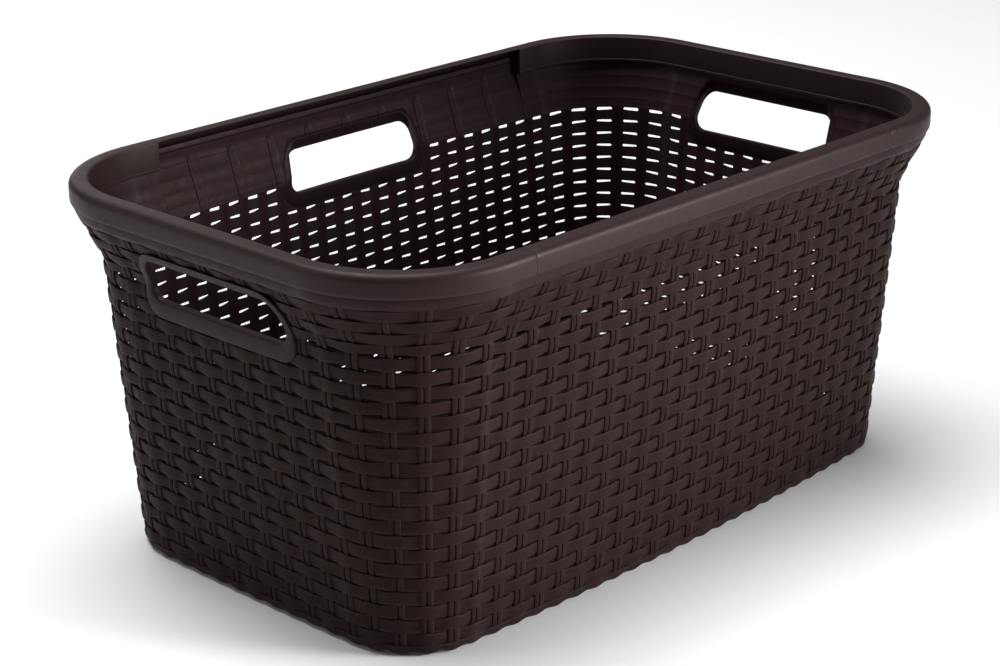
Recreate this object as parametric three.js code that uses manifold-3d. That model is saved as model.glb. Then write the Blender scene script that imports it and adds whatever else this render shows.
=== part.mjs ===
// A moulded plastic laundry basket with an imitation cane weave.
// Units are millimetres. +X runs along the basket, +Y to its back, +Z up, and z = 0 is the floor.
//
// In plan the basket is a rectangle of straight walls, STRAIGHT_X by STRAIGHT_Y, grown outwards by a
// corner radius that gets larger towards the top. Every piece is a profile (radius, height) swept round
// that rectangle, so neighbouring pieces meet face to face.

import * as THREE from 'three';
import { mergeVertices } from 'three/addons/utils/BufferGeometryUtils.js';
import Module from 'manifold-3d';

// ---------------------------------------------------------------- driving dimensions

const PITCH = 18.5; // from one pair of upright stakes to the next
const STRAIGHT_X = 11 * PITCH; // half the straight stretch of a long wall
const STRAIGHT_Y = 5 * PITCH; // half the straight stretch of an end wall

const TOP_ROW_Z = 207.2; // the highest row of slots: the slotted weave ends here, the solid band begins
const RIM_TOP_Z = 264.8;
const RIM_LOWER_Z = 249.8;

const RADIUS_X = 70.9; // wall radius at TOP_ROW_Z towards the ends
const RADIUS_Y = 71.8; // and towards the long sides
const DRAFT_X = 0.0835; // lean of the end walls, mm per mm of height
const DRAFT_Y = 0.0706; // lean of the long walls
const LONG_WALL_BOW = 7.5; // the long walls bulge this far at the middle
const END_WALL_BOW = 0.8;

const FLARE_SLOPE = 0.41; // above the top row of slots the wall leans this much further outwards
const FLARE_EASE = 7.6; // height over which it bends from the one lean to the other
const FLARE_END_Z = 245; // it stands upright again from here
const BAND_TOP_Z = 258.8; // to here, inside the rim

const WALL = 2.6; // wall thickness
const GAP = 0.3; // between pieces that meet
const FOOT_RADIUS = 6.5; // rounding where wall meets base
const BASE_BORDER = 12; // width of the border that the basket stands on
const BASE_RECESS = 1.4; // the middle of the base is this much higher

const RIM_OUTER = 91; // rim radii in plan: outer face, and inner edge
const RIM_INNER = 77.7;
const RIM_WALL = 2.2;
const RAIL_SKIRT = 4; // depth of the rim's inner skirt along the long sides
const BOW_SKIRT = 20.5; // and round the ends
const RIM_SEAM_X = 182; // the rim's pieces meet here on both long sides

const GRIP_HALF = 65.2; // half the length of a handle opening, along its sill
const GRIP_TAPER = 0.0021; // it narrows by this share of its length for each mm above the sill
const GRIP_LOW_Z = 200.4;
const GRIP_HIGH_Z = 230.3;
const GRIP_RADIUS = 10;
const COLLAR_SIDE = 6.3; // the raised collar round the opening
const COLLAR_BELOW = 12.2;
const COLLAR_ABOVE = 6;
const COLLAR_PROUD = 2;

// ---------------------------------------------------------------- the basket's surface

// How far the wall has swept outwards at height z, on top of its draft.
function flareAt(z) {
  const rise = Math.max(0, z - TOP_ROW_Z);
  const eased = Math.min(rise, FLARE_EASE);
  return FLARE_SLOPE * (eased ** 2 / (2 * FLARE_EASE) + (rise - eased));
}

// Plan radii and bows of the outer wall surface at height z, moved outwards by offset. The bows fade
// out over the flare, so that the top of the wall is straight.
function wallAt(z, offset) {
  const flare = flareAt(z);
  const bowLeft = 1 - Math.max(0, z - TOP_ROW_Z) / (FLARE_END_Z - TOP_ROW_Z);
  return {
    rx: RADIUS_X + DRAFT_X * (z - TOP_ROW_Z) + flare + offset,
    ry: RADIUS_Y + DRAFT_Y * (z - TOP_ROW_Z) + flare + offset,
    bowLong: LONG_WALL_BOW * bowLeft,
    bowEnd: END_WALL_BOW * bowLeft,
    z,
  };
}

// The rim and the top of the wall run parallel to the straight rectangle.
function rimAt(radius, z) {
  return { rx: radius, ry: radius, bowLong: 0, bowEnd: 0, z };
}

// A station is a place on the plan: a point of the rectangle, the way out, and its share of each bow.
function longStation(x, side) {
  return { x, y: side * STRAIGHT_Y, nx: 0, ny: side, long: 1 - (x / STRAIGHT_X) ** 2, end: 0 };
}

function endStation(y, side) {
  return { x: side * STRAIGHT_X, y, nx: side, ny: 0, long: 0, end: 1 - (y / STRAIGHT_Y) ** 2 };
}

function cornerStation(sideX, sideY, angle) {
  const nx = sideX * Math.cos(angle);
  const ny = sideY * Math.sin(angle);
  return { x: sideX * STRAIGHT_X, y: sideY * STRAIGHT_Y, nx, ny, long: 0, end: 0 };
}

function place(station, at) {
  const x = station.x + station.nx * (at.rx + at.bowEnd * station.end);
  const y = station.y + station.ny * (at.ry + at.bowLong * station.long);
  return new THREE.Vector3(x, y, at.z);
}

function range(from, to, steps) {
  return Array.from({ length: steps + 1 }, (_, i) => from + ((to - from) * i) / steps);
}

// ---------------------------------------------------------------- solids

function signedVolume(points, triangles) {
  let sum = 0;
  for (const [a, b, c] of triangles) {
    sum += points[a].dot(points[b].clone().cross(points[c]));
  }
  return sum / 6;
}

function geometryOf(points, triangles) {
  const outward = signedVolume(points, triangles) > 0;
  const ordered = outward ? triangles : triangles.map(([a, b, c]) => [a, c, b]);
  const geometry = new THREE.BufferGeometry();
  geometry.setFromPoints(points);
  geometry.setIndex(ordered.flat());
  return geometry;
}

// Sweeps a closed profile, listed anticlockwise, along stations and caps both ends.
function sweep(stations, profile) {
  const points = stations.flatMap((station) => profile.map((at) => place(station, at)));
  const n = profile.length;
  const triangles = [];
  for (let s = 0; s + 1 < stations.length; s++) {
    for (let k = 0; k < n; k++) {
      const a = s * n + k;
      const b = s * n + ((k + 1) % n);
      triangles.push([a, b, b + n], [a, b + n, a + n]);
    }
  }
  const flat = profile.map((at) => new THREE.Vector2(at.rx, at.z));
  const last = (stations.length - 1) * n;
  for (const [a, b, c] of THREE.ShapeUtils.triangulateShape(flat, [])) {
    triangles.push([a, c, b], [last + a, last + b, last + c]);
  }
  return geometryOf(points, triangles);
}

const wasm = await Module();
wasm.setup();

function solidOf(geometry) {
  const bare = geometry.clone();
  bare.deleteAttribute('normal');
  bare.deleteAttribute('uv');
  const merged = mergeVertices(bare, 1e-4);
  const vertProperties = new Float32Array(merged.attributes.position.array);
  const triVerts = new Uint32Array(merged.index.array);
  return new wasm.Manifold(new wasm.Mesh({ numProp: 3, vertProperties, triVerts }));
}

function geometryFrom(solid) {
  const mesh = solid.getMesh();
  const geometry = new THREE.BufferGeometry();
  geometry.setAttribute('position', new THREE.BufferAttribute(new Float32Array(mesh.vertProperties), 3));
  geometry.setIndex(Array.from(mesh.triVerts));
  return geometry;
}

// ---------------------------------------------------------------- profiles

// The slotted weave: up from the rounded foot to the top row of slots.
function weaveProfile() {
  const top = TOP_ROW_Z - GAP / 2;
  const foot = range(0, Math.PI / 2, 3).map((angle) => {
    const inset = FOOT_RADIUS * (1 - Math.sin(angle));
    return wallAt(FOOT_RADIUS * (1 - Math.cos(angle)), -inset);
  });
  const inside = FOOT_RADIUS - WALL;
  const innerFoot = range(Math.PI / 2, 0, 3).map((angle) => {
    const inset = WALL + inside * (1 - Math.sin(angle));
    return wallAt(WALL + inside * (1 - Math.cos(angle)), -inset);
  });
  return [
    ...foot,
    wallAt(top, 0),
    wallAt(top, -WALL),
    ...innerFoot,
  ];
}

// The solid upper band: it flares outwards, then stands up inside the rim.
function bandProfile() {
  const bend = range(TOP_ROW_Z + GAP / 2, TOP_ROW_Z + FLARE_EASE, 3);
  const heights = [...bend, FLARE_END_Z];
  const lip = wallAt(FLARE_END_Z, 0).rx;
  return [
    ...heights.map((z) => wallAt(z, 0)),
    rimAt(lip, BAND_TOP_Z),
    rimAt(lip - WALL, BAND_TOP_Z),
    ...heights.toReversed().map((z) => wallAt(z, -WALL)),
  ];
}

// The rim is a channel, open underneath, that caps the band: outer face, crown and inner skirt.
function rimProfile(skirt) {
  const crown = RIM_TOP_Z;
  const roof = RIM_TOP_Z - RIM_WALL;
  const outer = RIM_OUTER - RIM_WALL;
  const inner = RIM_INNER + RIM_WALL;
  return [
    rimAt(RIM_OUTER - 1.2, RIM_LOWER_Z),
    rimAt(RIM_OUTER, RIM_LOWER_Z + 2),
    rimAt(RIM_OUTER, crown - 5.5),
    rimAt(RIM_OUTER - 0.6, crown - 2.8),
    rimAt(RIM_OUTER - 2.4, crown - 0.8),
    rimAt(RIM_OUTER - 4.6, crown),
    rimAt(RIM_INNER + 2.2, crown),
    rimAt(RIM_INNER + 0.6, crown - 0.6),
    rimAt(RIM_INNER, crown - 2.2),
    rimAt(RIM_INNER, crown - skirt),
    rimAt(inner, crown - skirt),
    rimAt(inner, roof),
    rimAt(outer - 2.2, roof),
    rimAt(outer, roof - 3.2),
    rimAt(outer, RIM_LOWER_Z),
  ];
}

// ---------------------------------------------------------------- stretches of the plan

// Half the gap between neighbours, as a distance along a straight wall and as a corner's angle.
const HALF_GAP = GAP / 2;
const CORNER_GAP = HALF_GAP / RADIUS_X;

function longStations(side, steps = 8, reach = STRAIGHT_X) {
  return range(-reach + HALF_GAP, reach - HALF_GAP, steps).map((x) => longStation(x, side));
}

function endStations(side, steps = 2) {
  return range(-STRAIGHT_Y + HALF_GAP, STRAIGHT_Y - HALF_GAP, steps).map((y) => endStation(y, side));
}

function cornerStations(sideX, sideY, steps = 8) {
  const angles = range(CORNER_GAP, Math.PI / 2 - CORNER_GAP, steps);
  return angles.map((angle) => cornerStation(sideX, sideY, angle));
}

// Round one end of the basket, from the seam on the front to the seam on the back.
function bowStations(side) {
  const angles = range(0, Math.PI / 2, 10);
  return [
    longStation(side * (RIM_SEAM_X + HALF_GAP), -1),
    ...angles.toReversed().map((angle) => cornerStation(side, -1, angle)),
    ...angles.map((angle) => cornerStation(side, 1, angle)),
    longStation(side * (RIM_SEAM_X + HALF_GAP), 1),
  ];
}

// ---------------------------------------------------------------- handle openings

// A block with rounded corners, as wide and high as an opening grown by the given margins, and tapered
// like it. It stands across the wall: along X for the ends, along Y for the back.
function gripBlock(direction, side, below, above) {
  const half = GRIP_HALF + side;
  const low = GRIP_LOW_Z - below;
  const high = GRIP_HIGH_Z + above;
  const radius = GRIP_RADIUS + side;
  const shape = new THREE.Shape();
  shape.moveTo(-half + radius, low);
  shape.lineTo(half - radius, low);
  shape.absarc(half - radius, low + radius, radius, -Math.PI / 2, 0, false);
  shape.lineTo(half, high - radius);
  shape.absarc(half - radius, high - radius, radius, 0, Math.PI / 2, false);
  shape.lineTo(-half + radius, high);
  shape.absarc(-half + radius, high - radius, radius, Math.PI / 2, Math.PI, false);
  shape.lineTo(-half, low + radius);
  shape.absarc(-half + radius, low + radius, radius, Math.PI, Math.PI * 1.5, false);
  const outline = shape.getPoints(5);
  for (const point of outline) {
    point.x *= 1 - GRIP_TAPER * (point.y - GRIP_LOW_Z);
  }
  const reach = 2 * STRAIGHT_X;
  const block = new THREE.ExtrudeGeometry(new THREE.Shape(outline), { depth: reach, bevelEnabled: false });
  block.rotateX(Math.PI / 2); // the outline now stands up, and the block runs from y = 0 to -reach
  const turns = { back: Math.PI, left: -Math.PI / 2, right: Math.PI / 2 };
  block.rotateZ(turns[direction]);
  return solidOf(block);
}

function cutForCollar(geometry, direction) {
  const block = gripBlock(direction, COLLAR_SIDE + GAP, COLLAR_BELOW + GAP, COLLAR_ABOVE + GAP);
  return geometryFrom(solidOf(geometry).subtract(block));
}

// The collar is a piece of thicker wall, trimmed to a rounded outline, with the opening through it.
function collar(stations, direction) {
  const low = GRIP_LOW_Z - COLLAR_BELOW - 2;
  const high = GRIP_HIGH_Z + COLLAR_ABOVE + 2;
  const heights = range(low, high, 6);
  const profile = [
    ...heights.map((z) => wallAt(z, COLLAR_PROUD)),
    ...heights.toReversed().map((z) => wallAt(z, -WALL)),
  ];
  const outline = gripBlock(direction, COLLAR_SIDE, COLLAR_BELOW, COLLAR_ABOVE);
  const opening = gripBlock(direction, 0, 0, 0);
  return geometryFrom(solidOf(sweep(stations, profile)).intersect(outline).subtract(opening));
}

// ---------------------------------------------------------------- base

// The plan outline at the foot, taken in by a margin.
function footOutline(margin) {
  const at = wallAt(0, -FOOT_RADIUS - GAP - margin);
  const points = [
    ...range(-STRAIGHT_X, STRAIGHT_X, 8).map((x) => place(longStation(x, -1), at)),
    ...range(Math.PI / 2, 0, 6).map((angle) => place(cornerStation(1, -1, angle), at)).slice(1),
    ...range(-STRAIGHT_Y, STRAIGHT_Y, 2).map((y) => place(endStation(y, 1), at)).slice(1),
    ...range(0, Math.PI / 2, 6).map((angle) => place(cornerStation(1, 1, angle), at)).slice(1),
    ...range(STRAIGHT_X, -STRAIGHT_X, 8).map((x) => place(longStation(x, 1), at)).slice(1),
    ...range(Math.PI / 2, 0, 6).map((angle) => place(cornerStation(-1, 1, angle), at)).slice(1),
    ...range(STRAIGHT_Y, -STRAIGHT_Y, 2).map((y) => place(endStation(y, -1), at)).slice(1),
    ...range(0, Math.PI / 2, 6).map((angle) => place(cornerStation(-1, -1, angle), at)).slice(1, -1),
  ];
  return points.map((p) => new THREE.Vector2(p.x, p.y));
}

function basePanel() {
  const slab = (margin, depth) =>
    new THREE.ExtrudeGeometry(new THREE.Shape(footOutline(margin)), { depth, bevelEnabled: false });
  const plate = slab(0, WALL);
  const recess = slab(BASE_BORDER, 2 * BASE_RECESS).translate(0, 0, -BASE_RECESS);
  return geometryFrom(solidOf(plate).subtract(solidOf(recess)));
}

// ---------------------------------------------------------------- materials

const cane = new THREE.MeshStandardMaterial({ color: 0x2b2220, roughness: 0.55, metalness: 0 });
const smooth = new THREE.MeshStandardMaterial({ color: 0x332b28, roughness: 0.45, metalness: 0 });
const inner = new THREE.MeshStandardMaterial({ color: 0x241c1b, roughness: 0.6, metalness: 0 });

// ---------------------------------------------------------------- assembly

const group = new THREE.Group();

function add(name, geometry, material) {
  geometry.computeVertexNormals();
  const mesh = new THREE.Mesh(geometry, material.clone());
  mesh.name = name;
  group.add(mesh);
}

const weave = weaveProfile();
const band = bandProfile();

add('base_panel', basePanel(), inner);

add('front_weave', sweep(longStations(-1), weave), cane);
add('back_weave', cutForCollar(sweep(longStations(1), weave), 'back'), cane);
add('left_weave', cutForCollar(sweep(endStations(-1), weave), 'left'), cane);
add('right_weave', cutForCollar(sweep(endStations(1), weave), 'right'), cane);

add('front_band', sweep(longStations(-1), band), cane);
add('back_band', cutForCollar(sweep(longStations(1), band), 'back'), cane);
add('left_band', cutForCollar(sweep(endStations(-1), band), 'left'), cane);
add('right_band', cutForCollar(sweep(endStations(1), band), 'right'), cane);

for (const [sideX, x] of [[-1, 'left'], [1, 'right']]) {
  for (const [sideY, y] of [[-1, 'front'], [1, 'back']]) {
    add(`${y}_${x}_corner_weave`, sweep(cornerStations(sideX, sideY), weave), cane);
    add(`${y}_${x}_corner_band`, sweep(cornerStations(sideX, sideY), band), cane);
  }
}

add('back_handle_collar', collar(longStations(1, 8, STRAIGHT_Y), 'back'), smooth);
add('left_handle_collar', collar(endStations(-1), 'left'), smooth);
add('right_handle_collar', collar(endStations(1), 'right'), smooth);

const railStations = (side) => longStations(side, 1, RIM_SEAM_X);
add('front_rim_rail', sweep(railStations(-1), rimProfile(RAIL_SKIRT)), smooth);
add('back_rim_rail', sweep(railStations(1), rimProfile(RAIL_SKIRT)), smooth);
add('left_rim_bow', sweep(bowStations(-1), rimProfile(BOW_SKIRT)), smooth);
add('right_rim_bow', sweep(bowStations(1), rimProfile(BOW_SKIRT)), smooth);

export default group;
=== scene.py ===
"""Looks of the laundry basket: an imitation cane weave moulded in dark brown plastic.

Lengths in this script are millimetres until a mesh is made; the scene itself is in metres, in the frame
of the CAD part: +X along the basket, +Y to its back, +Z up, the floor at z = 0.

A place on the wall is given by a stake number, a height and an offset outwards from the wall's surface.
The 84 stakes are counted anticlockwise from the left end of the front wall: 22 spaces along the front and
the back, 10 along each end, and 5 round each corner.
"""

import math
from itertools import accumulate

import bpy
import numpy as np
from mathutils import Matrix, Vector


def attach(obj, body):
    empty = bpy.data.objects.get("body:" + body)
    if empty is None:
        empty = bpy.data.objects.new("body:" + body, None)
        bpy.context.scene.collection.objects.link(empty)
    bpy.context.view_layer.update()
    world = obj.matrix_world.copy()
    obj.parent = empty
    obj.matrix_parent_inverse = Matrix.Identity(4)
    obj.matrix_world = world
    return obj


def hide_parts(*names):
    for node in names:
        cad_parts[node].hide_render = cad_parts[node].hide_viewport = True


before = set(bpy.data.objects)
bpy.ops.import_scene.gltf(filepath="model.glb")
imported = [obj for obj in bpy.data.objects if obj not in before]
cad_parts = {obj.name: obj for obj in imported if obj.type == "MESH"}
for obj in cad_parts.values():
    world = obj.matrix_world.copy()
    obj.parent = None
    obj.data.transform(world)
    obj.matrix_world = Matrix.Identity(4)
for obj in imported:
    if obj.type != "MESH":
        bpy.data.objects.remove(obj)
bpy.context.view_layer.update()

MM = 0.001

# ---------------------------------------------------------------- driving dimensions

PITCH = 18.5  # from one stake to the next along a straight wall
LONG_SPACES, END_SPACES, CORNER_SPACES = 22, 10, 5  # between stakes, along each wall or corner
STRAIGHT_X = LONG_SPACES / 2 * PITCH  # half the straight stretch of a long wall
STRAIGHT_Y = END_SPACES / 2 * PITCH  # half the straight stretch of an end wall
STAKES = 2 * LONG_SPACES + 2 * END_SPACES + 4 * CORNER_SPACES

TOP_ROW_Z = 207.2  # the highest row of slots: slotted weave below, closed band above
ROW = 10.0  # height of a woven row below it
WEAVE_ROWS = 20
BAND_ROW = 8.7  # height of a woven row above it
BAND_ROWS = 4
LIP_Z = TOP_ROW_Z + BAND_ROWS * BAND_ROW  # the weave ends here, under a smooth lip
FOOT_Z = TOP_ROW_Z - WEAVE_ROWS * ROW  # and here, above a smooth foot

RADIUS_X = 70.9  # wall radius at TOP_ROW_Z towards the ends
RADIUS_Y = 71.8  # and towards the long sides
DRAFT_X = 0.0835  # lean of the end walls, mm per mm of height
DRAFT_Y = 0.0706  # lean of the long walls
LONG_WALL_BOW = 7.5  # how far the middle of a long wall stands out
END_WALL_BOW = 0.8
FLARE_SLOPE = 0.41  # lean of the band above the slots, beyond the draft
FLARE_EASE = 7.6  # height over which the flare begins
FLARE_END_Z = 245.0
BAND_TOP_Z = 258.8
FOOT_RADIUS = 6.5  # of the curve from the wall to the base
WALL = 2.6

RIM_TOP_Z = 264.8
RIM_LOWER_Z = 249.8
RIM_OUTER = 91.0
RIM_INNER = 77.7  # inner edge round the ends
RAIL_INNER = 78.6  # inner edge along the straight rails
RIM_WALL = 2.2
BOW_SKIRT = 20.5  # how far the rim's inner face reaches down round the ends
RIM_SEAM_X = 182.0
SEAM_GAP = 0.3
SEAM = (STRAIGHT_X - RIM_SEAM_X) / PITCH  # from the end of a long wall to the rim's seam, in pitches
ROLL = 5.0  # radius of the rim's outer upper edge

GRIP_HALF = 65.2  # half the length of a handle opening, along its sill
GRIP_TAPER = 0.0021  # it narrows by this share of its length for each mm above the sill
GRIP_LOW_Z = 200.4
GRIP_HIGH_Z = 230.3
GRIP_RADIUS = 10.0
COLLAR_SIDE = 6.3  # the raised collar round the opening
COLLAR_BELOW = 12.2
COLLAR_ABOVE = 6.0
COLLAR_PROUD = 2.0
COLLAR_TOP_Z = GRIP_HIGH_Z + COLLAR_ABOVE
CEILING_RISE = 7.2  # of the opening's ceiling, from the outside of the wall to the inside
SILL_RISE = 0.3  # of its sill
JAMB_TURN = 0.3  # how much the opening narrows at each side on the way in

STAKE_HALF = 4.2  # a stake is a pair of ribs, this far each side of its middle
STAKE_GROOVE = 0.35  # half the groove between the ribs
STAKE_FACE = -0.35  # mean offset of the ribs' faces
STAKE_WAVE = 0.5  # and how far they weave in and out of it
STAKE_BACK = -2.2
STRAND_FACE = -0.5  # mean offset of the strands' faces
STRAND_WAVE = 1.3  # how far they come forward of it over a stake
STRAND_DIVE = 0.7  # and how far they go back behind one
STRAND_THICK = 1.1
STRAND_FLATTEN = 0.45  # 0 for a plain wave; more makes it flatter over the stakes and behind them
SLIT = 2.05  # between neighbouring strands, midway between stakes
TOP_SLIT = 2.6  # and at the highest row of slots
STRAND_SWELL = 0.75  # a strand is this much taller, each way, where it crosses a stake
LINING_FACE = -1.8  # the moulded wall behind the slotted weave
LINING_BACK = -2.5
BAND_FACE = -1.5  # and behind the band's weave
SLOT_WIDTH = 10.4
SLOT_HEIGHT = 2.0
TOP_SLOT_HEIGHT = 2.5
SLOT_EASE = 0.7  # how far the corners of a slot are cut off
WEAVE_TOP = TOP_ROW_Z + TOP_SLOT_HEIGHT / 2 + 0.9  # the slotted lining just closes the highest slots
FOOT_TOP = FOOT_Z + 0.8
FOOT_BULGE = 0.6  # of the foot at each stake
FOOT_LIFT = 1.3  # of its lower edge midway between stakes

BAND_STEP = 3.4  # how much thicker the band is round the ends, at its top
BAND_STEP_FROM_Z, BAND_STEP_TO_Z = 213, 243  # it grows between these heights
EMBOSS_FROM_Z, EMBOSS_TO_Z = TOP_ROW_Z + 3, 246  # raised lines on the inside of the band
ROW_LINE, ROW_LINE_HALF = 0.15, 0.25  # height and half the width of the one along each row
RIDGE_PLACE = 0.2  # of the upright ones from the middle of every other stake, in pitches
BOLD_RIDGE, FINE_RIDGE, RIDGE_HALF = 0.6, 0.2, 0.45  # heights of each pair, and half the width
# The inside of the band just under the long rails: heights, and how far the face stands back.
LEDGE_Z = [252.4, 252.7, 253.5, 253.8, 254.4, 256.6, 257.1, BAND_TOP_Z]
LEDGE_BACK = [0, 0.8, 0.8, -0.2, -0.2, 0.5, 2.3, 0.3]

BASE_GAP = 0.15  # between the base and the foot's curve
BORDER = 11.2  # width of the flat border that the basket stands on
UNDERSIDE_RISE = 1.4  # of the base inside the border
PLATE_RISE = 0.9  # of the base's upper face in the middle
BASE_MIDDLE = 40.0  # from the foot to where the base is one flat face

# Each wall or corner: how many spaces it has, and the stake numbers where it begins and ends.
SPACES = {
    "front": LONG_SPACES,
    "front_right_corner": CORNER_SPACES,
    "right": END_SPACES,
    "back_right_corner": CORNER_SPACES,
    "back": LONG_SPACES,
    "back_left_corner": CORNER_SPACES,
    "left": END_SPACES,
    "front_left_corner": CORNER_SPACES,
}
SECTORS = {name: (last - SPACES[name], last) for name, last in zip(SPACES, accumulate(SPACES.values()))}
GRIP_STAKES = {name: sum(SECTORS[name]) // 2 for name in ("right", "back", "left")}  # at the handles' middles
# Each corner: its sides of the middle, along X and Y, and the angle at which it begins.
CORNERS = {
    "front_right_corner": (1, -1, -90),
    "back_right_corner": (1, 1, 0),
    "back_left_corner": (-1, 1, 90),
    "front_left_corner": (-1, -1, 180),
}
CORNER_STEP = math.pi / 2 / CORNER_SPACES  # a corner's angle from one stake to the next

# ---------------------------------------------------------------- the basket's surface


def stations(stake):
    """Where stakes stand on the plan: a point of the inner rectangle, the way out, and the bow's share."""
    s = np.asarray(stake, float)
    x, y, nx, ny = (np.zeros_like(s) for _ in range(4))
    long_bow, end_bow = np.zeros_like(s), np.zeros_like(s)
    for wall, side in (("front", -1), ("back", 1)):
        first, last = SECTORS[wall]
        on = (s >= first) & (s <= last)
        x[on] = side * (STRAIGHT_X - (s[on] - first) * PITCH)
        y[on], ny[on] = side * STRAIGHT_Y, side
        long_bow[on] = 1 - (x[on] / STRAIGHT_X) ** 2
    for wall, side in (("right", 1), ("left", -1)):
        first, last = SECTORS[wall]
        on = (s >= first) & (s <= last)
        y[on] = side * ((s[on] - first) * PITCH - STRAIGHT_Y)
        x[on], nx[on] = side * STRAIGHT_X, side
        end_bow[on] = 1 - (y[on] / STRAIGHT_Y) ** 2
    for corner, (sx, sy, start) in CORNERS.items():
        first, last = SECTORS[corner]
        on = (s > first) & (s < last)
        angle = math.radians(start) + (s[on] - first) * CORNER_STEP
        x[on], y[on] = sx * STRAIGHT_X, sy * STRAIGHT_Y
        nx[on], ny[on] = np.cos(angle), np.sin(angle)
    ends = s >= STAKES  # the last stake is the first again
    x[ends], y[ends], ny[ends] = -STRAIGHT_X, -STRAIGHT_Y, -1
    return x, y, nx, ny, long_bow, end_bow


def flare(z):
    """How far the wall has flared out at height z."""
    rise = np.maximum(0, z - TOP_ROW_Z)
    eased = np.minimum(rise, FLARE_EASE)
    return FLARE_SLOPE * (eased**2 / (2 * FLARE_EASE) + rise - eased)


def on_wall(stake, z, offset):
    """Points of the wall, moved outwards by offset. Above the flare the wall stands upright."""
    stake, z, offset = np.broadcast_arrays(*(np.asarray(v, float) for v in (stake, z, offset)))
    x, y, nx, ny, long_bow, end_bow = stations(stake)
    level = np.clip(z, FOOT_RADIUS, FLARE_END_Z)
    tuck = FOOT_RADIUS - np.minimum(z, FOOT_RADIUS)
    inset = (FOOT_RADIUS + offset) * (1 - np.sqrt(1 - (tuck / FOOT_RADIUS) ** 2))
    out = flare(level) + offset - inset
    bow_left = 1 - np.maximum(0, level - TOP_ROW_Z) / (FLARE_END_Z - TOP_ROW_Z)
    rx = RADIUS_X + DRAFT_X * (level - TOP_ROW_Z) + out + END_WALL_BOW * bow_left * end_bow
    ry = RADIUS_Y + DRAFT_Y * (level - TOP_ROW_Z) + out + LONG_WALL_BOW * bow_left * long_bow
    return np.stack([x + nx * rx, y + ny * ry, z], -1)


def on_rim(stake, radius, z):
    """Points at one height, at a distance outwards from the inner rectangle."""
    x, y, nx, ny, _, _ = stations(stake)
    return np.stack([x + nx * radius, y + ny * radius, np.full_like(x, z)], -1)


def stake_spacing(sector, z):
    """The distance between neighbouring stakes at height z."""
    if not sector.endswith("corner"):
        return np.full_like(np.asarray(z, float), PITCH)
    return (RADIUS_X + DRAFT_X * (np.asarray(z, float) - TOP_ROW_Z) + flare(z)) * CORNER_STEP


# ---------------------------------------------------------------- meshes


class Mesh:
    """Gathers closed bodies for one piece. Each point also carries its place in the grain of the cane:
    the distance along the fibre, across it, and a number for the fibre."""

    def __init__(self):
        self.points, self.faces, self.grain, self.count = [], [], [], 0

    def add(self, points, faces, grain=None):
        points = points.reshape(-1, 3)
        grain = points if grain is None else grain.reshape(-1, 3)
        self.points.append(points)
        self.grain.append(grain)
        self.faces += [tuple(int(i) + self.count for i in face) for face in faces]
        self.count += len(points)

    def tube(self, rings, grain=None, loop=False):
        """rings[a][b] is point b of cross-section a; the ends are closed unless the tube is a loop."""
        n, m = rings.shape[:2]
        a, b = np.meshgrid(np.arange(n if loop else n - 1), np.arange(m), indexing="ij")
        here, there = a * m, ((a + 1) % n) * m
        nxt = (b + 1) % m
        quads = np.stack([here + b, here + nxt, there + nxt, there + b], -1).reshape(-1, 4).tolist()
        if not loop:
            last = (n - 1) * m
            quads += [list(range(m - 1, -1, -1)), [last + i for i in range(m)]]
        self.add(rings, quads, grain)

    def build(self, name, material, slot, smooth_angle=38):
        data = bpy.data.meshes.new(name)
        points = np.concatenate(self.points) * MM
        data.from_pydata(points.tolist(), [], self.faces)
        grain = data.attributes.new("grain", "FLOAT_VECTOR", "POINT")
        grain.data.foreach_set("vector", (np.concatenate(self.grain) * MM).astype(np.float32).ravel())
        if signed_volume(data) < 0:
            data.flip_normals()
        data.shade_smooth()
        data.set_sharp_from_angle(angle=math.radians(smooth_angle))
        data.materials.append(material)
        piece = bpy.data.objects.new(name, data)
        bpy.context.scene.collection.objects.link(piece)
        return piece


def signed_volume(data):
    """A measure of the volume inside a mesh, below zero if its faces point inwards."""
    data.calc_loop_triangles()
    points = np.empty(len(data.vertices) * 3)
    data.vertices.foreach_get("co", points)
    corners = np.empty(len(data.loop_triangles) * 3, np.int32)
    data.loop_triangles.foreach_get("vertices", corners)
    a, b, c = points.reshape(-1, 3)[corners.reshape(-1, 3)].transpose(1, 0, 2)
    return float(np.einsum("ij,ij->i", a, np.cross(b, c)).sum())


def place(piece, *nodes):
    """Fixes a piece to the basket's one body, in place of the named CAD nodes."""
    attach(piece, "root")
    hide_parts(*nodes)


# ---------------------------------------------------------------- handle openings


def grip_half(z, side, below, above):
    """Half the length, at height z, of a handle opening grown by the given margins."""
    low, high, radius = GRIP_LOW_Z - below, GRIP_HIGH_Z + above, GRIP_RADIUS + side
    edge = np.clip(np.minimum(z - low, high - z), 0, radius)
    rounded = radius - np.sqrt(radius**2 - (radius - edge) ** 2)
    return (GRIP_HALF + side - rounded) * (1 - GRIP_TAPER * (z - GRIP_LOW_Z))


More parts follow.
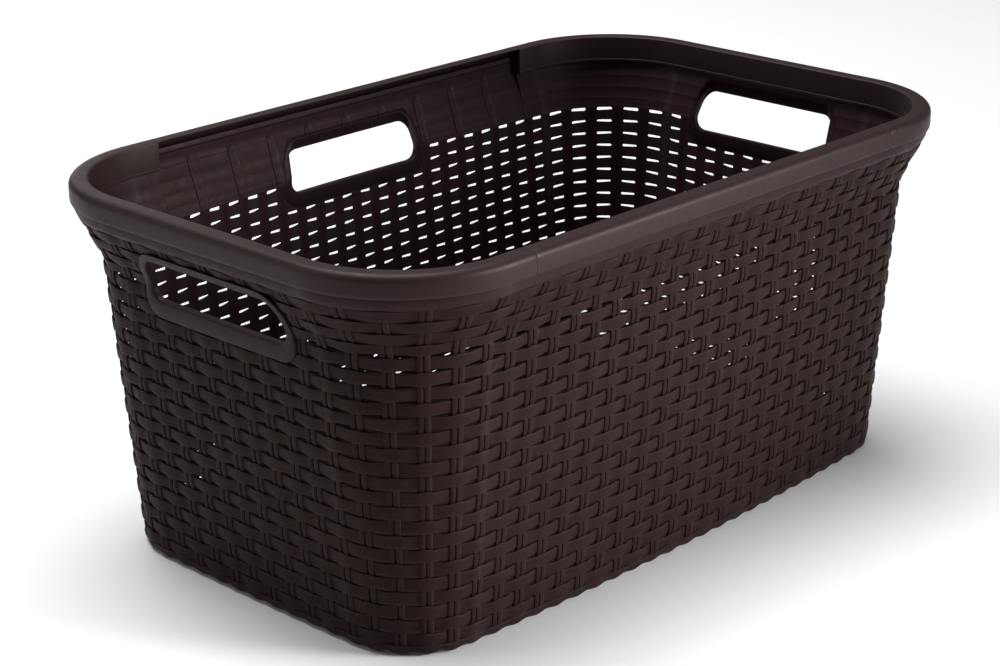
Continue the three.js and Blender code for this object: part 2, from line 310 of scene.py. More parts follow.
def grip_outline(side, below, above):
    """The outline of an opening grown by the given margins, as points (distance along the wall, height)."""
    low, high, radius, half = GRIP_LOW_Z - below, GRIP_HIGH_Z + above, GRIP_RADIUS + side, GRIP_HALF + side
    corners = (  # the centre of each rounded corner, and the angle at which it begins
        (half - radius, low + radius, -90),
        (half - radius, high - radius, 0),
        (radius - half, high - radius, 90),
        (radius - half, low + radius, 180),
    )
    outline = []
    for k, (x, z, start) in enumerate(corners):
        angle = np.radians(start + np.linspace(0, 90, 9))
        arc = np.stack([x + radius * np.cos(angle), z + radius * np.sin(angle)], -1)
        outline.append(arc)
        x2, z2, start2 = corners[(k + 1) % 4]
        turn = math.radians(start2)
        goal = np.array([x2 + radius * math.cos(turn), z2 + radius * math.sin(turn)])
        steps = np.linspace(0, 1, 7 if k % 2 == 0 else 17)[1:-1, None]  # fewer up the sides
        outline.append(arc[-1] * (1 - steps) + goal * steps)
    outline = np.concatenate(outline)
    outline[:, 0] *= 1 - GRIP_TAPER * (outline[:, 1] - GRIP_LOW_Z)
    return outline


def on_grip_wall(sector, along, z, offset):
    """Points of the wall, given by their distance along it from the middle of its handle."""
    return on_wall(GRIP_STAKES[sector] + along / PITCH, z, offset)


# ---------------------------------------------------------------- the weave

# A strand's cross-section: how far up or down (as a share of half its height), how far out.
STRAND_SECTION = np.array(
    [
        (-1.0, -0.6),
        (-0.97, -0.25),
        (-0.86, -0.06),
        (-0.5, 0.08),
        (0.0, 0.13),
        (0.5, 0.08),
        (0.86, -0.06),
        (0.97, -0.25),
        (1.0, -0.6),
        (0.9, -STRAND_THICK),
        (-0.9, -STRAND_THICK),
    ]
)
STEPS = 8  # of a strand from one stake to the next
STRAND_GRAIN_STEP, STAKE_GRAIN_STEP = 37.0, 53.0  # from one fibre's number to the next


def rows():
    """The woven rows: number, lower and upper edge. Rows 0 to 19 are slotted, -1 to -4 are the band's."""
    slotted = [(k, TOP_ROW_Z - (k + 1) * ROW, TOP_ROW_Z - k * ROW) for k in range(WEAVE_ROWS)]
    closed = [(-k - 1, TOP_ROW_Z + k * BAND_ROW, TOP_ROW_Z + (k + 1) * BAND_ROW) for k in range(BAND_ROWS)]
    return slotted, closed


def strand(mesh, row, low, high, start, end, lowest=lambda stake: 0):
    """One strand between two stake numbers. Either end may be a function of height, to follow a collar.
    lowest gives a height that the strand stays above."""
    floor_gap = TOP_SLIT if row == -1 else SLIT
    roof_gap = TOP_SLIT if row == 0 else SLIT
    low, high = low + floor_gap / 2, high - roof_gap / 2
    middle, half = (low + high) / 2, (high - low) / 2
    v, out = STRAND_SECTION.T
    z_flat = middle + half * v
    first = start(z_flat) if callable(start) else np.full_like(v, start)
    last = end(z_flat) if callable(end) else np.full_like(v, end)
    steps = max(2, int(round((last - first).mean() * STEPS)))
    share = np.linspace(0, 1, steps + 1)[:, None]
    stake = first * (1 - share) + last * share
    wave = -np.cos(math.pi * (stake + row))
    shaped = (1 - STRAND_FLATTEN) * wave + STRAND_FLATTEN * (1.5 * wave - 0.5 * wave**3)
    swell = STRAND_SWELL * np.maximum(wave, 0) ** 5
    z = np.maximum(middle + (half + swell) * v, lowest(stake))
    points = on_wall(stake, z, STRAND_FACE + np.where(shaped > 0, STRAND_WAVE, STRAND_DIVE) * shaped + out)
    grain = np.stack(np.broadcast_arrays(stake * PITCH, half * v, row * STRAND_GRAIN_STEP), -1)
    mesh.tube(points, grain)


def stake_wave(stake, z):
    """1 where the stake comes to the front of the weave, -1 where it goes behind."""
    below = (TOP_ROW_Z - z) / ROW - 0.5
    above = (TOP_ROW_Z - z) / BAND_ROW - 0.5
    return np.cos(math.pi * (np.where(z < TOP_ROW_Z, below, above) + stake))


def rib(mesh, sector, stake, side, low, high):
    """One of a stake's two ribs; side is -1 or 1."""
    # Its section: places across it, the first and last at its back, and how its face rounds off.
    a, b = STAKE_GROOVE, STAKE_HALF
    across = np.array([a, a + 0.12, a + 0.7, (a + b) / 2, b - 0.7, b - 0.12, b])
    rounding = np.array([0, 0.45, 0.07, 0, 0.07, 0.45, 0])
    rows_high = (high - low) / ROW
    z = np.linspace(low, high, max(3, int(round(rows_high * 6)) + 1))[:, None]
    offset = STAKE_FACE + STAKE_WAVE * stake_wave(stake, z) - rounding
    offset[:, [0, -1]] = STAKE_BACK
    points = on_wall(stake + side * across / stake_spacing(sector, z), z, offset)
    grain = np.stack(np.broadcast_arrays(z, side * across, stake * STAKE_GRAIN_STEP), -1)
    mesh.tube(points, grain)


def blocked(sector, stake):
    """The heights between which a handle opening interrupts a stake, or None."""
    if sector not in GRIP_STAKES or abs(stake - GRIP_STAKES[sector]) * PITCH > GRIP_HALF:
        return None
    return GRIP_LOW_Z - COLLAR_BELOW / 2, COLLAR_TOP_Z + 0.2


def weave_strands(sector, woven):
    """The strands of some rows across one wall or corner, interrupted by its handle opening."""
    mesh = Mesh()
    begin, finish = SECTORS[sector]
    middle = GRIP_STAKES.get(sector)

    def on_collar(stake):
        return np.where(np.abs(stake - middle) * PITCH < GRIP_HALF, COLLAR_TOP_Z + 0.5, 0)

    def reach(z):
        return grip_half(z, COLLAR_SIDE / 2, COLLAR_BELOW / 2, COLLAR_ABOVE / 2) / PITCH

    for row, low, high in woven:
        if middle is None or high < GRIP_LOW_Z:
            strand(mesh, row, low, high, begin, finish)
        elif high > COLLAR_TOP_Z:  # this strand rests on the collar
            strand(mesh, row, low, high, begin, finish, on_collar)
        else:
            strand(mesh, row, low, high, begin, lambda z: middle - reach(z))
            strand(mesh, row, low, high, lambda z: middle + reach(z), finish)
    return mesh


def weave_stakes(sector, low, high):
    """The stakes of one wall or corner between two heights. Those at its ends show only their inner rib."""
    mesh = Mesh()
    begin, finish = SECTORS[sector]
    for stake in range(begin, finish + 1):
        gap = blocked(sector, stake)
        spans = [(low, high)] if gap is None else [(low, min(high, gap[0])), (max(low, gap[1]), high)]
        for side in (-1, 1):
            if (stake == begin and side < 0) or (stake == finish and side > 0):
                continue
            for bottom, top in spans:
                if top - bottom > 1:
                    rib(mesh, sector, stake, side, bottom, top)
    return mesh


# ---------------------------------------------------------------- the moulded wall behind the weave


def plate(mesh, s, z, solid, outer, inner):
    """A curved plate over a grid of stakes and heights; solid marks the cells that aren't slots. outer and
    inner are functions of (stake, height) that give the offsets of its two faces."""
    faces = np.stack([on_wall(s, z, outer(s, z)), on_wall(s, z, inner(s, z))])
    n, m = s.shape
    number = np.arange(2 * n * m).reshape(2, n, m)
    front, back = number
    quads = []

    def cells(a, b, c, d, where):
        quads.extend(np.stack([a[where], b[where], c[where], d[where]], -1).tolist())

    cells(front[:-1, :-1], front[1:, :-1], front[1:, 1:], front[:-1, 1:], solid)
    cells(back[:-1, :-1], back[:-1, 1:], back[1:, 1:], back[1:, :-1], solid)
    padded = np.pad(solid, 1)
    left = padded[1:, 1:-1] & ~padded[:-1, 1:-1]
    right = padded[:-1, 1:-1] & ~padded[1:, 1:-1]
    down = padded[1:-1, 1:] & ~padded[1:-1, :-1]
    up = padded[1:-1, :-1] & ~padded[1:-1, 1:]
    cells(front[:, :-1], front[:, 1:], back[:, 1:], back[:, :-1], left)
    cells(front[:, :-1], back[:, :-1], back[:, 1:], front[:, 1:], right)
    cells(front[:-1, :], back[:-1, :], back[1:, :], front[1:, :], down)
    cells(front[:-1, :], front[1:, :], back[1:, :], back[:-1, :], up)
    used = np.unique(np.array(quads))
    renumber = np.zeros(2 * n * m, int)
    renumber[used] = np.arange(len(used))
    across = np.stack(np.broadcast_arrays(s * PITCH, z, 0.0), -1)
    both = np.stack([across, across])
    mesh.add(faces.reshape(-1, 3)[used], renumber[np.array(quads)], both.reshape(-1, 3)[used])


def weave_lining(sector):
    """The slotted wall behind the weave."""
    mesh = Mesh()
    begin, finish = SECTORS[sector]
    half = SLOT_WIDTH / PITCH / 2
    ease = SLOT_EASE / PITCH
    columns = [-half, -half + ease, 0, half - ease, half, 0.5]
    stakes = [begin] + [space + 0.5 + column for space in range(begin, finish) for column in columns]
    heights = [FOOT_Z - 1]
    for k in range(WEAVE_ROWS - 1, -1, -1):
        tall = TOP_SLOT_HEIGHT if k == 0 else SLOT_HEIGHT
        heights += [TOP_ROW_Z - k * ROW - tall / 2, TOP_ROW_Z - k * ROW + tall / 2]
    heights.append(WEAVE_TOP)
    line = np.arange(len(stakes)) % len(columns)  # 0 at a stake, 1 and 5 at the ends of a slot
    solid = np.ones((len(stakes) - 1, len(heights) - 1), bool)
    solid[(line[:-1] >= 1) & (line[:-1] < 5), 1::2] = False
    s, z = np.meshgrid(stakes, heights, indexing="ij")
    slot_ends = (line == 1) | (line == 5)
    z[slot_ends, 1:-1:2] += SLOT_EASE
    z[slot_ends, 2:-1:2] -= SLOT_EASE
    plate(mesh, s, z, solid, lambda s, z: LINING_FACE, lambda s, z: LINING_BACK)
    return mesh


def weave_foot(sector):
    """The solid foot below the weave. It bulges a little and reaches lowest at each stake."""
    mesh = Mesh()
    begin, finish = SECTORS[sector]
    along = np.linspace(begin, finish, (finish - begin) * 8 + 1)[:, None]
    at_stake = np.cos(math.pi * along) ** 2
    proud = 0.1 + FOOT_BULGE * at_stake
    # Its section: the outer curve up from the floor, the upper edge, and the inner curve down again.
    arc = np.linspace(0, math.pi / 2, 6)
    outer_z = FOOT_RADIUS * (1 - np.cos(arc)) + FOOT_LIFT * (1 - at_stake) * np.cos(arc)
    outer_out = proud - FOOT_RADIUS * (1 - np.sin(arc))
    inner_z = WALL + (FOOT_RADIUS - WALL) * (1 - np.cos(arc[::-1]))
    inner_out = -WALL - (FOOT_RADIUS - WALL) * (1 - np.sin(arc[::-1]))
    flat = np.ones_like(along)
    section_z = np.concatenate([outer_z, flat * [FOOT_TOP - 0.3, FOOT_TOP, FOOT_TOP], flat * inner_z], 1)
    section_out = np.concatenate([outer_out, proud, proud - 0.3, -WALL * flat, flat * inner_out], 1)
    level = on_wall(along, np.maximum(section_z, FOOT_RADIUS), section_out)
    level[..., 2] = section_z
    mesh.tube(level, np.stack(np.broadcast_arrays(along * PITCH, section_z, 0.0), -1))
    return mesh


def recess(stake):
    """1 along the middle of the long sides, where the band is thinner, and 0 round the ends."""
    within = np.zeros(np.shape(stake), bool)
    for begin, finish in (SECTORS["front"], SECTORS["back"]):
        within |= (stake > begin + SEAM) & (stake < finish - SEAM)
    return np.where(within, 1.0, 0.0)


def row_line(z):
    """The height of the raised lines along the rows, on the inside of the band."""
    row = (z - TOP_ROW_Z) / BAND_ROW
    from_row = np.abs(row - np.round(row)) * BAND_ROW
    return ROW_LINE * ((from_row < ROW_LINE_HALF) & (z > EMBOSS_FROM_Z))


def embossed(s, z):
    """The height of all raised lines on the inside of the long walls, where the weave shows through: a pair
    at every other stake, one bolder than the other, and one along each row."""
    odd = (s - 1) / 2 - np.round((s - 1) / 2)
    from_ridge = np.abs(np.abs(odd) * 2 - RIDGE_PLACE) * PITCH
    bold = np.cos(math.pi * (s - 1 - RIDGE_PLACE)) > 0.8
    height = np.where(bold, BOLD_RIDGE, FINE_RIDGE) * (from_ridge < RIDGE_HALF)
    return np.maximum(height, row_line(z)) * ((z > EMBOSS_FROM_Z) & (z < EMBOSS_TO_Z))


def band_lining(sector):
    """The closed wall behind the band's weave. Its lip runs up inside the rim."""
    mesh = Mesh()
    begin, finish = SECTORS[sector]
    stakes = np.linspace(begin, finish, (finish - begin) * 4 + 1)
    if sector in ("front", "back"):
        steps = [begin + SEAM - 0.01, begin + SEAM + 0.01, finish - SEAM - 0.01, finish - SEAM + 0.01]
        ridges = [
            i + side * RIDGE_PLACE + d / PITCH
            for i in range(begin + 1 - begin % 2, finish, 2)
            for side in (-1, 1)
            for d in (-0.9, -0.42, 0.42, 0.9)
        ]
        stakes = np.unique(np.concatenate([stakes, steps, ridges]))
        stakes = stakes[~np.isin(stakes, [begin + SEAM, finish - SEAM])]
    bend = np.linspace(WEAVE_TOP, TOP_ROW_Z + FLARE_EASE, 4)
    lines = [TOP_ROW_Z + k * BAND_ROW + d for k in range(1, BAND_ROWS) for d in (-0.6, -0.22, 0.22, 0.6)]
    lip = [LIP_Z - 0.9, LIP_Z - 0.8, LIP_Z - 0.22, LIP_Z + 0.22, LIP_Z + 0.8, FLARE_END_Z, 249]
    heights = np.unique(np.concatenate([bend, lines, lip, LEDGE_Z]))

    def outer(s, z):
        edge_z = [LIP_Z - 0.9, LIP_Z - 0.8, LIP_Z - 0.2, LIP_Z + 0.8]
        return np.interp(z, edge_z, [BAND_FACE, -0.25, 0.05, 0.25])

    def inner(s, z):
        round_ends = np.interp(z, [BAND_STEP_FROM_Z, BAND_STEP_TO_Z], [0, BAND_STEP]) + row_line(z)
        long_sides = embossed(s, z) - np.interp(z, LEDGE_Z, LEDGE_BACK)
        return -WALL - np.where(recess(s) > 0, long_sides, round_ends)

    s, z = np.meshgrid(stakes, heights, indexing="ij")
    plate(mesh, s, z, np.ones((len(stakes) - 1, len(heights) - 1), bool), outer, inner)
    return mesh


CUTTER_REACH = 40  # of the block that cuts an opening, to each side of the wall


def cut_opening(piece, sector):
    """Cuts a handle opening through a lining; the cut edge is hidden inside the collar."""
    outline = grip_outline(COLLAR_SIDE / 2, COLLAR_BELOW / 2, CEILING_RISE + 0.8)
    along, z = outline.T
    sill = np.full_like(z, GRIP_LOW_Z)
    rings = np.stack([on_grip_wall(sector, along, sill, d) for d in (-CUTTER_REACH, CUTTER_REACH)])
    rings[..., 2] = z
    block = Mesh()
    block.tube(rings)
    cutter = block.build("cutter", piece.data.materials[0], "smooth_plastic")
    trim = piece.modifiers.new("opening", "BOOLEAN")
    trim.operation, trim.solver, trim.object = "DIFFERENCE", "EXACT", cutter
    bpy.context.view_layer.update()
    cut = bpy.data.meshes.new_from_object(piece.evaluated_get(bpy.context.evaluated_depsgraph_get()))
    piece.modifiers.clear()
    piece.data = cut
    bpy.data.objects.remove(cutter)


# ---------------------------------------------------------------- collars, rim, base


def collar(sector):
    """The raised frame of a handle opening. Inside, its ceiling is hollowed upwards for the fingers."""
    side, below, above = COLLAR_SIDE, COLLAR_BELOW, COLLAR_ABOVE
    # margins beyond the opening (side, below, above), and the offset from the wall's surface
    loops = (
        ((side, below, above), -1.0),
        ((side, below, above), COLLAR_PROUD - 0.75),
        ((side - 0.25, below - 0.25, above - 0.25), COLLAR_PROUD - 0.2),
        ((side - 0.9, below - 0.9, above - 0.9), COLLAR_PROUD),
        ((1.2, 1.6, 1.4), COLLAR_PROUD),
        ((0.4, 0.5, 0.5), COLLAR_PROUD - 0.25),
        ((0.05, 0.08, 0.08), COLLAR_PROUD - 0.8),
        ((0, 0, 0.15), COLLAR_PROUD - 1.3),
        ((-JAMB_TURN * 0.3, -SILL_RISE * 0.3, CEILING_RISE * 0.35), 0.0),
        ((-JAMB_TURN * 0.85, -SILL_RISE * 0.85, CEILING_RISE * 0.85), -WALL + 0.6),
        ((-JAMB_TURN, -SILL_RISE, CEILING_RISE), -WALL - 0.05),
        ((0.5 - JAMB_TURN, 0.6 - SILL_RISE, CEILING_RISE + 0.5), -WALL - 0.3),
        ((2.0 - JAMB_TURN, 2.5 - SILL_RISE, CEILING_RISE + 0.8), -WALL - 0.3),
        ((3.0, 4.0, CEILING_RISE + 1.0), -WALL - 0.2),
        ((side - 0.8, below - 1.3, CEILING_RISE + 1.2), -WALL - 0.2),
        ((side - 0.5, below - 1.0, CEILING_RISE + 1.4), -WALL),
        ((side - 0.5, below - 1.0, CEILING_RISE + 1.4), -WALL + 0.5),
        ((side - 0.5, below - 0.4, above - 0.2), -WALL + 0.9),
    )
    rings = []
    for margins, offset in loops:
        along, z = grip_outline(*margins).T
        rings.append(on_grip_wall(sector, along, z, offset))
    rings = np.array(rings)
    mesh = Mesh()
    mesh.tube(rings, loop=True)
    return mesh


def rim_section(inner, skirt):
    """The rim's cross-section as points (radius, height): a channel, open underneath, that caps the band."""
    top, low, outer = RIM_TOP_Z, RIM_LOWER_Z, RIM_OUTER
    turn = np.radians(range(90, -1, -15))
    roll = [(outer - ROLL + ROLL * math.sin(a), top - ROLL + ROLL * math.cos(a)) for a in turn]
    roof = top - RIM_WALL
    section = [
        (outer - 1.0, low),
        (outer - 0.45, low + 0.25),
        (outer - 0.15, low + 0.9),
        (outer, low + 2.4),
        (outer, top - 7.5),
        *roll,
        (outer - 6.5, top),
    ]
    if skirt:
        section += [(inner + 2.0, top - 0.1), (inner + 0.8, top - 0.25)]
        section += [(inner + 0.2, top - 0.7), (inner, top - 1.5)]
        foot = top - skirt
        section += [
            (inner, foot + 2.4),
            (inner - 0.35, foot + 2.1),
            (inner - 0.45, foot + 1.2),
            (inner - 0.35, foot + 0.3),
            (inner, foot),
            (inner + RIM_WALL - 0.3, foot),
            (inner + RIM_WALL, foot + 0.4),
            (inner + RIM_WALL, roof),
        ]
    else:
        section += [(inner + 1.2, top - 0.05), (inner + 0.3, top - 0.25), (inner, top - 0.6)]
        section += [(inner + 0.2, top - 0.95), (inner + 2.6, roof)]
    within = outer - RIM_WALL
    section += [(outer - 5.4, roof), (outer - 3.0, roof - 1.2), (within, roof - 3.2)]
    section += [(within, low + 0.3), (within + 0.3, low)]
    return section


def seam_end(section):
    """The cross-section at a seam: its edge is eased a little, and more at the foot of the outer face."""
    section = np.array(section)
    inwards = np.where((section[:, 0] > RIM_OUTER - 1.2) & (section[:, 1] < RIM_LOWER_Z + 1), 1.2, 0.08)
    towards = section.mean(0) - section
    return section + towards / np.linalg.norm(towards, axis=1, keepdims=True) * inwards[:, None]


def rim(name):
    """One stretch of the rim: a straight rail, or a bow round one end."""
    gap = SEAM_GAP / 2 / PITCH
    ease = 0.25 / PITCH  # length of the eased edge at a seam
    front, back = SECTORS["front"], SECTORS["back"]
    first, last, inner, skirt = {
        "front_rim_rail": (front[0] + SEAM, front[1] - SEAM, RAIL_INNER, 0),
        "right_rim_bow": (front[1] - SEAM, back[0] + SEAM, RIM_INNER, BOW_SKIRT),
        "back_rim_rail": (back[0] + SEAM, back[1] - SEAM, RAIL_INNER, 0),
        "left_rim_bow": (back[1] - SEAM, STAKES + SEAM, RIM_INNER, BOW_SKIRT),
    }[name]
    first, last = first + gap, last - gap
    along = np.linspace(first, last, int(round((last - first) * 4)) + 1)
    along = np.concatenate([[first, first + ease], along[1:-1], [last - ease, last]])
    corners = [float(v) for pair in SECTORS.values() for v in pair if first < v < last]
    along = np.unique(np.round(np.concatenate([along, corners]), 6))
    section = rim_section(inner, skirt)
    rings = []
    for k, stake in enumerate(along):
        shape = seam_end(section) if k in (0, len(along) - 1) else section
        wrapped = stake - STAKES if stake > STAKES else stake
        rings.append([on_rim(np.array(wrapped), r, z) for r, z in shape])
    mesh = Mesh()
    mesh.tube(np.array(rings))
    return mesh


def base():
    """The base: a plate with the border that the basket stands on, and a raised middle."""
    stakes = np.linspace(0, STAKES, STAKES * 2 + 1)[:-1]
    # How far in from the foot, and height: inwards along the underside, then outwards along the top.
    underside = (
        (0.0, 0.35),
        (0.4, 0.0),
        (BORDER, 0.0),
        (BORDER + 0.8, 0.35),
        (BORDER + 1.4, 1.1),
        (BORDER + 2.2, UNDERSIDE_RISE),
        (BASE_MIDDLE, UNDERSIDE_RISE),
    )
    top = (
        (BASE_MIDDLE, WALL + PLATE_RISE),
        (BORDER + 3.8, WALL + PLATE_RISE),
        (BORDER + 1.3, WALL + 0.6),
        (BORDER - 0.7, WALL),
        (0.4, WALL),
        (0.0, WALL - 0.35),
    )
    rings = []
    for inwards, z in underside + top:
        ring = on_wall(stakes, FOOT_RADIUS, -(FOOT_RADIUS + BASE_GAP + inwards))
        ring[:, 2] = z
        rings.append(ring)
    rings = np.array(rings)
    n, m = rings.shape[:2]
    middle = len(underside) - 1
    faces = []
    for a in range(n):
        b = (a + 1) % n
        if a != middle:
            faces += [[a * m + j, a * m + (j + 1) % m, b * m + (j + 1) % m, b * m + j] for j in range(m)]
    faces.append([middle * m + j for j in range(m)])
    faces.append([(middle + 1) * m + j for j in reversed(range(m))])
    mesh = Mesh()
    mesh.add(rings, faces)
    return mesh


# ---------------------------------------------------------------- materials

CANE_BROWN = (0.0204, 0.0102, 0.0100)
SMOOTH_BROWN = (0.0190, 0.0092, 0.0095)
HANDLE_BROWN = (0.0165, 0.0080, 0.0082)
BAND_BROWN = (0.0220, 0.0092, 0.0106)
# Painted light: the lining's inner side is a lighter brown than the cane, standing in for light that the
# inside of the basket lacks.
PAINTED_LIGHT_INNER_BROWN = (0.0230, 0.0088, 0.0106)
PALE_EDGE_BROWN = (0.11, 0.095, 0.088)
SHEEN_TINT = (1.0, 0.8, 0.8)
PLASTIC_IOR = 1.47
GRAIN_DEPTH = 0.0007  # metres
GRAIN_SCALE = (26, 620, 40)  # of the grain's noise along the fibre, across it and from fibre to fibre
PAINTED_GAP_SHADE = 0.25  # painted shade: how dark the lining's outer side, deep in the weave's gaps, is painted against its inner side


def node(tree, kind, **values):
    """Makes a shader node; each value sets the input of that name or, where there is none, a property."""
    made = tree.nodes.new(kind)
    for key, value in values.items():
        if key in made.inputs:
            made.inputs[key].default_value = value
        else:
            setattr(made, key, value)
    return made


def noise(tree, scale, detail, roughness=0.5):
    """Noise through the whole basket."""
    place_in = node(tree, "ShaderNodeTexCoord")
    made = node(tree, "ShaderNodeTexNoise", Scale=scale, Detail=detail, Roughness=roughness)
    tree.links.new(place_in.outputs["Object"], made.inputs["Vector"])
    return made.outputs["Fac"]


def map_range(tree, source, source_range, result_range):
    keys = ("From Min", "From Max", "To Min", "To Max")
    ranged = node(tree, "ShaderNodeMapRange", **dict(zip(keys, (*source_range, *result_range))))
    tree.links.new(source, ranged.inputs["Value"])
    return ranged.outputs["Result"]


def uneven(tree, colour, mottle):
    """A colour, lighter and darker in soft patches, and paler on sharp outward edges."""
    ramp = node(tree, "ShaderNodeValToRGB")
    dark, light = ramp.color_ramp.elements
    dark.position, light.position = 0.3, 0.72
    dark.color = (*[c * (1 - mottle) for c in colour], 1)
    light.color = (*[c * (1 + mottle) for c in colour], 1)
    tree.links.new(noise(tree, 38.0, 4.0, 0.6), ramp.inputs["Fac"])
    edges = node(tree, "ShaderNodeNewGeometry")
    pale_edges = node(tree, "ShaderNodeMix", data_type="RGBA")
    pale_edges.inputs["B"].default_value = (*PALE_EDGE_BROWN, 1)
    edge_share = map_range(tree, edges.outputs["Pointiness"], (0.52, 0.62), (0.0, 0.22))
    tree.links.new(edge_share, pale_edges.inputs["Factor"])
    tree.links.new(ramp.outputs["Color"], pale_edges.inputs["A"])
    return pale_edges.outputs["Result"]


def paint_gap_shade(tree, colour, shade):
    """The colour, darkened on faces that look away from the middle of the basket: painted shade for the
    shadow deep in the weave's gaps.
    """
    surface = node(tree, "ShaderNodeNewGeometry")
    facing = node(tree, "ShaderNodeVectorMath", operation="DOT_PRODUCT")
    tree.links.new(surface.outputs["Position"], facing.inputs[0])
    tree.links.new(surface.outputs["Normal"], facing.inputs[1])
    shaded = node(tree, "ShaderNodeVectorMath", operation="SCALE")
    tree.links.new(colour, shaded.inputs[0])
    share = map_range(tree, facing.outputs["Value"], (0.0, 0.05), (1.0, shade))
    tree.links.new(share, shaded.inputs["Scale"])
    return shaded.outputs["Vector"]


def relief(tree, grain_depth):
    """A fine moulded skin and, on top, the lengthwise grain of cane if it has a depth."""
    skin = node(tree, "ShaderNodeBump", Strength=0.25, Distance=0.00012)
    tree.links.new(noise(tree, 900.0, 2.0), skin.inputs["Height"])
    if not grain_depth:
        return skin.outputs["Normal"]
    place_in = node(tree, "ShaderNodeAttribute", attribute_name="grain")
    stretched = node(tree, "ShaderNodeMapping", Scale=GRAIN_SCALE)
    tree.links.new(place_in.outputs["Vector"], stretched.inputs["Vector"])
    fibres = node(tree, "ShaderNodeTexNoise", Scale=1.0, Detail=3.0, Roughness=0.62)
    tree.links.new(stretched.outputs["Vector"], fibres.inputs["Vector"])
    grained = node(tree, "ShaderNodeBump", Strength=0.9, Distance=grain_depth)
    tree.links.new(fibres.outputs["Fac"], grained.inputs["Height"])
    tree.links.new(skin.outputs["Normal"], grained.inputs["Normal"])
    return grained.outputs["Normal"]


def plastic(name, colour, mottle, roughness, gloss, grain_depth=0, painted_outer_shade=1):
    """Moulded plastic with a satin skin, duller and shinier in fine patches."""
    material = bpy.data.materials.new(name)
    material.use_nodes = True
    tree = material.node_tree
    tree.nodes.clear()
    shader = node(tree, "ShaderNodeBsdfPrincipled", IOR=PLASTIC_IOR)
    shader.inputs["Specular IOR Level"].default_value = gloss
    shader.inputs["Specular Tint"].default_value = (*SHEEN_TINT, 1)
    shade = uneven(tree, colour, mottle)
    # Painted shade: faces that look outwards, into the weave's gaps, are darkened.
    if painted_outer_shade < 1:
        shade = paint_gap_shade(tree, shade, painted_outer_shade)
    satin = map_range(tree, noise(tree, 160.0, 3.0, 0.55), (0.3, 0.7), (roughness - 0.06, roughness + 0.07))
    tree.links.new(shade, shader.inputs["Base Color"])
    tree.links.new(satin, shader.inputs["Roughness"])
    tree.links.new(relief(tree, grain_depth), shader.inputs["Normal"])
    out = node(tree, "ShaderNodeOutputMaterial")
    tree.links.new(shader.outputs["BSDF"], out.inputs["Surface"])
    return material


cane = plastic("cane_weave_plastic", CANE_BROWN, 0.16, 0.56, 0.08, GRAIN_DEPTH)
smooth = plastic("smooth_rim_plastic", SMOOTH_BROWN, 0.08, 0.5, 0.28)
handle = plastic("handle_frame_plastic", HANDLE_BROWN, 0.08, 0.45, 0.12)
band = plastic("band_wall_plastic", BAND_BROWN, 0.12, 0.5, 0.14)
# Painted light and shade: the lining's inner side is lighter and its outer side darker than the plastic's own
# brown.
lining = plastic("lining_plastic", PAINTED_LIGHT_INNER_BROWN, 0.12, 0.55, 0.05, painted_outer_shade=PAINTED_GAP_SHADE)
base_brown = plastic("base_plastic", CANE_BROWN, 0.12, 0.55, 0.05)

# ---------------------------------------------------------------- the basket

slotted_rows, band_rows = rows()
for sector in SECTORS:
    weave_node, band_node = f"{sector}_weave", f"{sector}_band"
    low_strands = weave_strands(sector, slotted_rows)
    low_stakes = weave_stakes(sector, FOOT_Z + 0.3, TOP_ROW_Z)
    place(low_strands.build(f"{sector}_weave_strands", cane, "weave_plastic"), weave_node)
    place(low_stakes.build(f"{sector}_weave_stakes", cane, "weave_plastic"), weave_node)
    wall_low = weave_lining(sector).build(f"{sector}_weave_wall", lining, "weave_plastic")
    place(weave_foot(sector).build(f"{sector}_weave_foot", cane, "weave_plastic"), weave_node)
    high_strands = weave_strands(sector, band_rows)
    high_stakes = weave_stakes(sector, TOP_ROW_Z, LIP_Z)
    place(high_strands.build(f"{sector}_band_strands", cane, "weave_plastic"), band_node)
    place(high_stakes.build(f"{sector}_band_stakes", cane, "weave_plastic"), band_node)
    wall_high = band_lining(sector).build(f"{sector}_band_wall", band, "weave_plastic")
    if sector in GRIP_STAKES:
        cut_opening(wall_low, sector)
        cut_opening(wall_high, sector)
        frame_piece = collar(sector).build(f"{sector}_handle_frame", handle, "smooth_plastic", 50)
        place(frame_piece, f"{sector}_handle_collar")
    place(wall_low, weave_node)
    place(wall_high, band_node)

for name in ("front_rim_rail", "back_rim_rail", "left_rim_bow", "right_rim_bow"):
    place(rim(name).build(f"{name}_moulding", smooth, "smooth_plastic"), name)

place(base().build("base_plate", base_brown, "base_plastic"), "base_panel")

# ---------------------------------------------------------------- floor, light, camera

FLOOR_HALF = 6.0
PAPER_WHITE = 0.93
WORLD_LIGHT = 0.13
floor_mesh = bpy.data.meshes.new("studio_floor")
corners = [(x * FLOOR_HALF, y * FLOOR_HALF, 0) for x, y in ((-1, -1), (1, -1), (1, 1), (-1, 1))]
floor_mesh.from_pydata(corners, [], [(0, 1, 2, 3)])
floor = bpy.data.objects.new("studio_floor", floor_mesh)
bpy.context.scene.collection.objects.link(floor)
paper = bpy.data.materials.new("studio_paper")
paper.use_nodes = True
paper_shader = paper.node_tree.nodes["Principled BSDF"]
paper_shader.inputs["Base Color"].default_value = (PAPER_WHITE, PAPER_WHITE, PAPER_WHITE, 1)
paper_shader.inputs["Roughness"].default_value = 0.9
floor_mesh.materials.append(paper)

world = bpy.data.worlds.new("studio")
world.use_nodes = True
world.node_tree.nodes["Background"].inputs["Color"].default_value = (1, 1, 1, 1)
world.node_tree.nodes["Background"].inputs["Strength"].default_value = WORLD_LIGHT
bpy.context.scene.world = world
bpy.context.scene.view_settings.view_transform = "Standard"


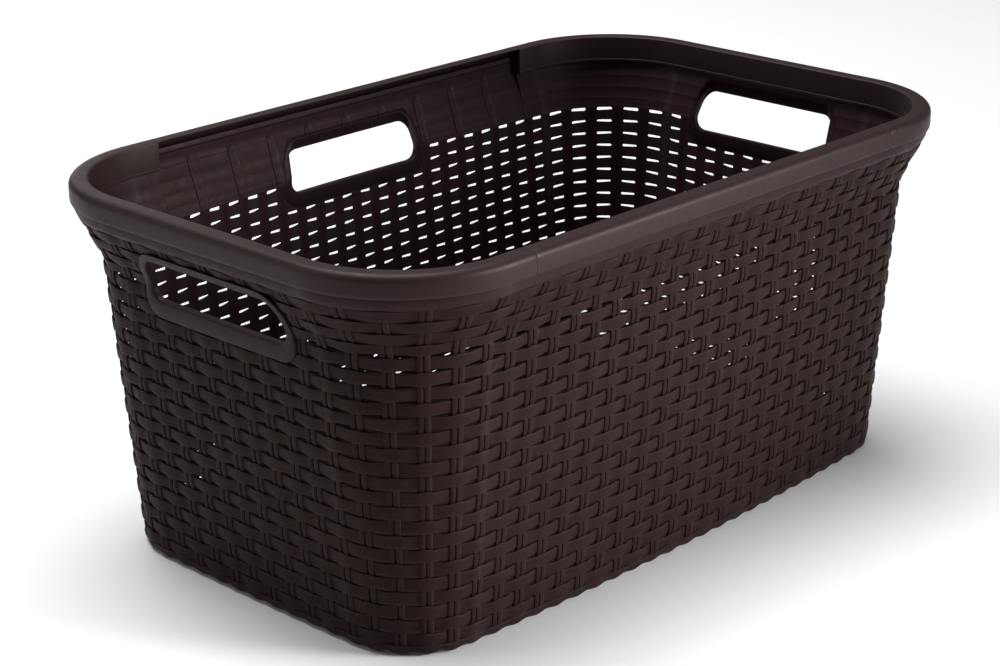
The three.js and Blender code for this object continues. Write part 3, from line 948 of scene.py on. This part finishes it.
def softbox(name, position, target, size, power, spread=180):
    """A round softbox: places and size in metres, power in watts, spread of its beam in degrees."""
    light = bpy.data.lights.new(name, "AREA")
    light.shape, light.size, light.energy, light.spread = "DISK", size, power, math.radians(spread)
    lamp = bpy.data.objects.new(name, light)
    lamp.location = position
    lamp.visible_camera = False
    lamp.rotation_euler = (Vector(target) - Vector(position)).to_track_quat("-Z", "Y").to_euler()
    bpy.context.scene.collection.objects.link(lamp)


centre = (0, 0, RIM_TOP_Z * MM / 2)
softbox("front_right_softbox", (0.6, -1.3, 0.5), (-0.2, -0.18, 0.13), 0.6, 2.3, 46)
softbox("left_softbox", (-2.0, 1.3, 1.1), centre, 0.9, 5)
softbox("back_softbox", (0.9, 2.2, 0.6), centre, 0.9, 4)
softbox("overhead_softbox", (0.0, 0.8, 3.4), (0, 0.2, 0), 3.0, 150)

# The viewpoint: where it stands, which way it looks (turned from +Y, and down), its tilt and its lens.
VIEW_PLACE = (-1.1549, -1.0794, 0.7058)
VIEW_TURN, VIEW_DOWN, VIEW_ROLL = 0.8097, 0.3564, -0.0074
VIEW_LENS = 84.91

camera_data = bpy.data.cameras.new("viewpoint")
camera_data.lens, camera_data.sensor_width = VIEW_LENS, 36.0
camera = bpy.data.objects.new("viewpoint", camera_data)
level = math.cos(VIEW_DOWN)
ahead = Vector((math.sin(VIEW_TURN) * level, math.cos(VIEW_TURN) * level, -math.sin(VIEW_DOWN)))
rightwards = Vector((math.cos(VIEW_TURN), -math.sin(VIEW_TURN), 0))
upwards = rightwards.cross(ahead)
axis_x = rightwards * math.cos(VIEW_ROLL) + upwards * math.sin(VIEW_ROLL)
axis_y = upwards * math.cos(VIEW_ROLL) - rightwards * math.sin(VIEW_ROLL)
camera.matrix_world = Matrix([
    (axis_x.x, axis_y.x, -ahead.x, VIEW_PLACE[0]),
    (axis_x.y, axis_y.y, -ahead.y, VIEW_PLACE[1]),
    (axis_x.z, axis_y.z, -ahead.z, VIEW_PLACE[2]),
    (0, 0, 0, 1),
])
bpy.context.scene.collection.objects.link(camera)
bpy.context.scene.camera = camera
